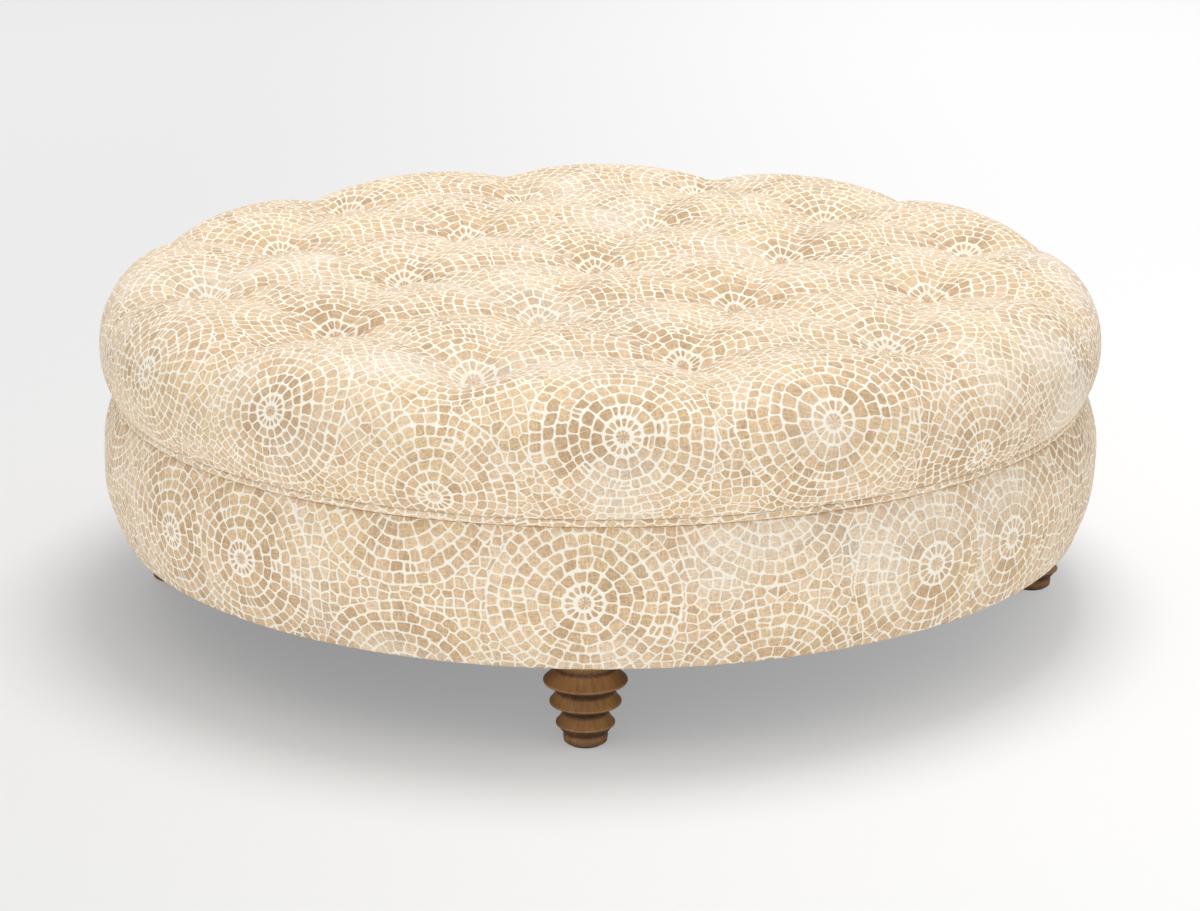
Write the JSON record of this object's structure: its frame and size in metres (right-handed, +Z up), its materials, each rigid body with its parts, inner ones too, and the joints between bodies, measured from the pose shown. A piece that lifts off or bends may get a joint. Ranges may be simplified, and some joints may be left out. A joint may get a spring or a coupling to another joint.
{
  "type": "ottoman coffee table",
  "caption": "Round upholstered ottoman coffee table with a blind-tufted cushion top, padded band, welt and short turned legs.",
  "frame": {"origin": "on the floor under the centre of the round top", "axes": "+Z up; the picture looks along +Y, with +X to its right"},
  "size_m": [1.2212, 1.2212, 0.427],
  "materials": {
    "printed_linen": "plain-woven linen printed with a mosaic of tan tiles in cream grout",
    "stained_wood": "turned hardwood, walnut-brown stain, satin lacquer",
    "glide_plastic": "moulded glide, matt",
    "zinc_steel": "zinc-plated steel",
    "plywood": "raw plywood",
    "pine": "planed softwood",
    "hardboard": "hardboard, smooth side out",
    "dust_cloth": "spun-bonded cloth, matt black",
    "foam": "open-cell foam",
    "twine": "waxed twine",
    "clip_plastic": "moulded bar, matt"
  },
  "bodies": {
    "root": {"legs": "stained_wood", "foot_glides": "glide_plastic", "hanger_bolts": "zinc_steel", "tee_nuts": "zinc_steel", "leg_blocks": "plywood", "base_board": "plywood", "dust_cover": "dust_cloth", "frame_posts": "pine", "long_joists": "pine", "cross_joists": "pine", "deck_board": "plywood", "side_wall": "hardboard", "wall_splice": "hardboard", "hoop_blocks": "pine", "side_padding": "foam", "side_cover": "printed_linen", "welt": "printed_linen", "seat_foam": "foam", "tufted_top": "printed_linen", "tuft_ties": "twine", "tuft_clips": "clip_plastic"}
  },
  "joints": []
}
